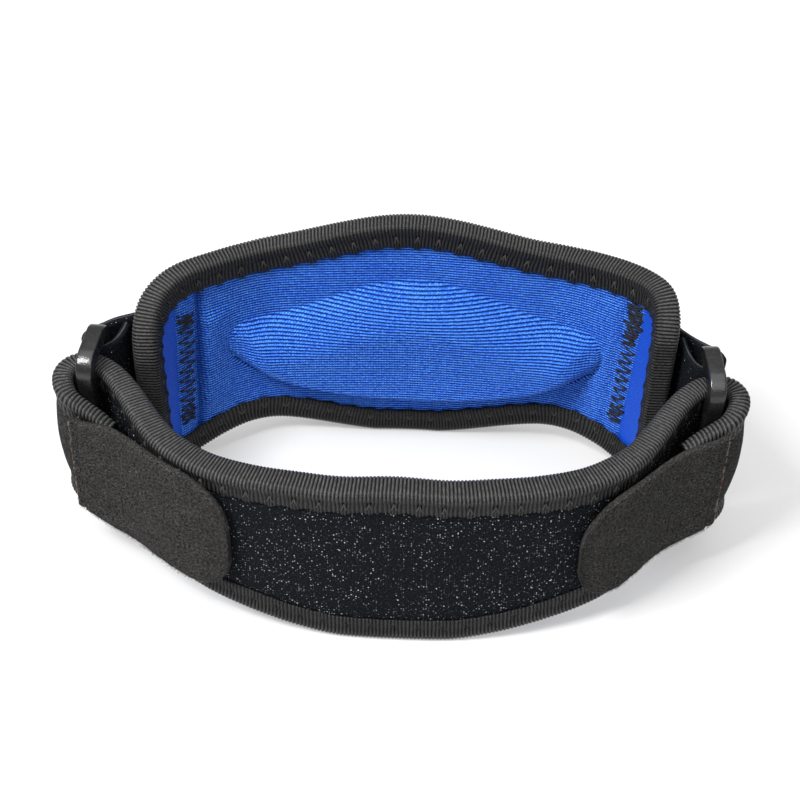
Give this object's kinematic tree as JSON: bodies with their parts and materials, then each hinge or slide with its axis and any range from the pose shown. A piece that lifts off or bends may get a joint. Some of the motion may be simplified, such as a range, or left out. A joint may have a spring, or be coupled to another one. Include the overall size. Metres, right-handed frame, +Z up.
{
  "type": "tennis elbow strap",
  "caption": "Forearm support band: a padded, blue-lined rear panel joined by plastic rings to a tapered loop-faced front strap that folds back under hook tabs.",
  "frame": {"origin": "centre of the bounding box in plan, at the level of the surface it rests on", "axes": "+X across the band from ring to ring, +Y from the front strap to the rear panel, +Z up along the arm"},
  "size_m": [0.1296, 0.0604, 0.0548],
  "materials": {
    "loop_fabric": "brushed loop pile",
    "blue_knit": "stretch knit with a slight sheen",
    "pad_foam": "foam",
    "ribbed_tape": "ribbed binding tape",
    "ring_plastic": "satin moulded plastic",
    "hook_tape": "felted back of hook tape"
  },
  "bodies": {
    "root": {"panel_back": "loop_fabric", "panel_lining": "blue_knit", "pressure_pad": "pad_foam", "panel_binding": "ribbed_tape", "left_ring_tab": "loop_fabric", "right_ring_tab": "loop_fabric", "left_ring": "ring_plastic", "right_ring": "ring_plastic", "front_strap": "loop_fabric", "strap_binding_top": "ribbed_tape", "strap_binding_bottom": "ribbed_tape", "left_hook_tab": "hook_tape", "right_hook_tab": "hook_tape"}
  },
  "joints": []
}
